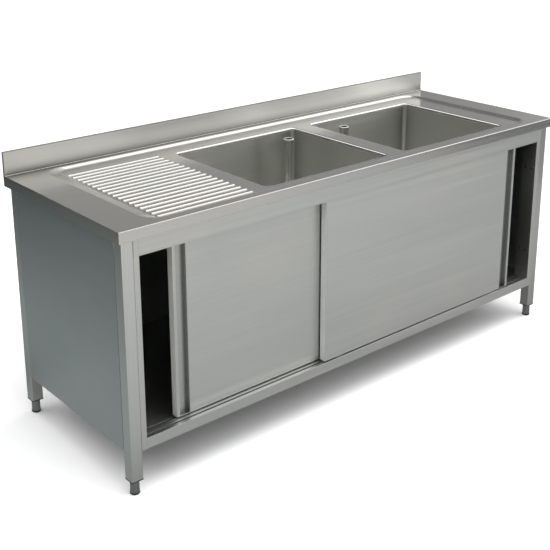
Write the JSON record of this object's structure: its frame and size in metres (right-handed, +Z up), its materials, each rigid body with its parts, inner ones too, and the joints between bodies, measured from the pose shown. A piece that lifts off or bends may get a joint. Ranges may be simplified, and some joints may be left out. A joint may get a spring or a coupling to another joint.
{
  "type": "kitchen sink unit",
  "caption": "Free-standing stainless steel sink cupboard with ribbed drainer, two bowls, rear upstand, sliding doors and square legs on levelling feet.",
  "frame": {"origin": "on the floor, under the middle of the worktop's length and depth", "axes": "+X along the length from the drainer towards the bowls, +Y from the doors towards the upstand, +Z up"},
  "size_m": [2, 0.7, 0.93],
  "materials": {
    "worktop_steel": "fine grain along the length",
    "bowl_steel": "satin",
    "leg_steel": "fine vertical grain",
    "side_panel_steel": "fine grain",
    "foot_steel": "satin turned",
    "inner_steel": "mill finish",
    "shelf_steel": "fine grain along the length",
    "rail_steel": "fine grain along the length",
    "track_steel": "mill finish",
    "door_steel": "fine horizontal grain",
    "waste_steel": "polished",
    "standpipe_steel": "polished",
    "stud_steel": "plated thread",
    "black_plastic": "moulded",
    "grey_plastic": "moulded",
    "white_nylon": "moulded",
    "black_rubber": "matt"
  },
  "bodies": {
    "cabinet": {"worktop": "worktop_steel", "deck_stiffeners": "inner_steel", "rear_edge_stiffener": "inner_steel", "bowl_left": "bowl_steel", "bowl_right": "bowl_steel", "sound_pads": "black_rubber", "waste_flange_left": "waste_steel", "waste_flange_right": "waste_steel", "waste_tail_left": "grey_plastic", "waste_tail_right": "grey_plastic", "waste_gaskets": "black_rubber", "waste_nuts": "grey_plastic", "leg_front_left": "leg_steel", "leg_front_right": "leg_steel", "leg_back_left": "leg_steel", "leg_back_right": "leg_steel", "leg_inserts": "black_plastic", "levelling_studs": "stud_steel", "side_panel_left": "side_panel_steel", "side_panel_right": "side_panel_steel", "side_rail_left": "inner_steel", "side_rail_right": "inner_steel", "back_panel": "inner_steel", "rear_rail": "inner_steel", "bottom_shelf": "shelf_steel", "shelf_stiffener": "inner_steel", "door_jamb_left": "rail_steel", "door_jamb_right": "rail_steel", "top_front_rail": "rail_steel", "front_door_track": "track_steel", "rear_door_track": "track_steel", "door_buffers": "black_rubber"},
    "left_door": {"left_door_front": "door_steel", "left_door_back": "inner_steel", "left_door_hangers": "inner_steel", "left_door_guides": "white_nylon"},
    "left_door_wheel_outer": {"left_door_wheel_outer": "white_nylon"},
    "left_door_wheel_inner": {"left_door_wheel_inner": "white_nylon"},
    "right_door": {"right_door_front": "door_steel", "right_door_back": "inner_steel", "right_door_hangers": "inner_steel", "right_door_guides": "white_nylon"},
    "right_door_wheel_outer": {"right_door_wheel_outer": "white_nylon"},
    "right_door_wheel_inner": {"right_door_wheel_inner": "white_nylon"},
    "standpipe_left": {"standpipe_tube_left": "standpipe_steel", "standpipe_crown_left": "standpipe_steel", "standpipe_plug_left": "black_rubber"},
    "standpipe_right": {"standpipe_tube_right": "standpipe_steel", "standpipe_crown_right": "standpipe_steel", "standpipe_plug_right": "black_rubber"},
    "foot_front_left": {"foot_front_left": "foot_steel", "foot_pad_front_left": "black_plastic"},
    "foot_front_right": {"foot_front_right": "foot_steel", "foot_pad_front_right": "black_plastic"},
    "foot_back_left": {"foot_back_left": "foot_steel", "foot_pad_back_left": "black_plastic"},
    "foot_back_right": {"foot_back_right": "foot_steel", "foot_pad_back_right": "black_plastic"}
  },
  "joints": [
    {"name": "left_door_slide", "type": "slide", "parent": "cabinet", "child": "left_door", "axis": [1, 0, 0], "range_m": [-0.13, 0.723]},
    {"name": "left_door_wheel_outer_spin", "type": "hinge", "parent": "left_door", "child": "left_door_wheel_outer", "pos_m": [-0.718, -0.29185, 0.793], "axis": [0, 1, 0], "continuous": true},
    {"name": "left_door_wheel_inner_spin", "type": "hinge", "parent": "left_door", "child": "left_door_wheel_inner", "pos_m": [0.125, -0.29185, 0.793], "axis": [0, 1, 0], "continuous": true},
    {"name": "right_door_slide", "type": "slide", "parent": "cabinet", "child": "right_door", "axis": [1, 0, 0], "range_m": [-0.723, 0.13]},
    {"name": "right_door_wheel_outer_spin", "type": "hinge", "parent": "right_door", "child": "right_door_wheel_outer", "pos_m": [0.718, -0.31985, 0.793], "axis": [0, 1, 0], "continuous": true},
    {"name": "right_door_wheel_inner_spin", "type": "hinge", "parent": "right_door", "child": "right_door_wheel_inner", "pos_m": [-0.125, -0.31985, 0.793], "axis": [0, 1, 0], "continuous": true},
    {"name": "standpipe_left_lift", "type": "slide", "parent": "cabinet", "child": "standpipe_left", "axis": [0, 0, 1], "range_m": [0, 0.32]},
    {"name": "standpipe_right_lift", "type": "slide", "parent": "cabinet", "child": "standpipe_right", "axis": [0, 0, 1], "range_m": [0, 0.32]},
    {"name": "foot_front_left_height", "type": "slide", "parent": "cabinet", "child": "foot_front_left", "axis": [0, 0, 1], "range_m": [-0.02, 0.015]},
    {"name": "foot_front_right_height", "type": "slide", "parent": "cabinet", "child": "foot_front_right", "axis": [0, 0, 1], "range_m": [-0.02, 0.015]},
    {"name": "foot_back_left_height", "type": "slide", "parent": "cabinet", "child": "foot_back_left", "axis": [0, 0, 1], "range_m": [-0.02, 0.015]},
    {"name": "foot_back_right_height", "type": "slide", "parent": "cabinet", "child": "foot_back_right", "axis": [0, 0, 1], "range_m": [-0.02, 0.015]}
  ],
  "couplings": [
    {"joint": "left_door_wheel_outer_spin", "follows": "left_door_slide", "rad_per_m": 111.11},
    {"joint": "left_door_wheel_inner_spin", "follows": "left_door_slide", "rad_per_m": 111.11},
    {"joint": "right_door_wheel_outer_spin", "follows": "right_door_slide", "rad_per_m": 111.11},
    {"joint": "right_door_wheel_inner_spin", "follows": "right_door_slide", "rad_per_m": 111.11}
  ]
}
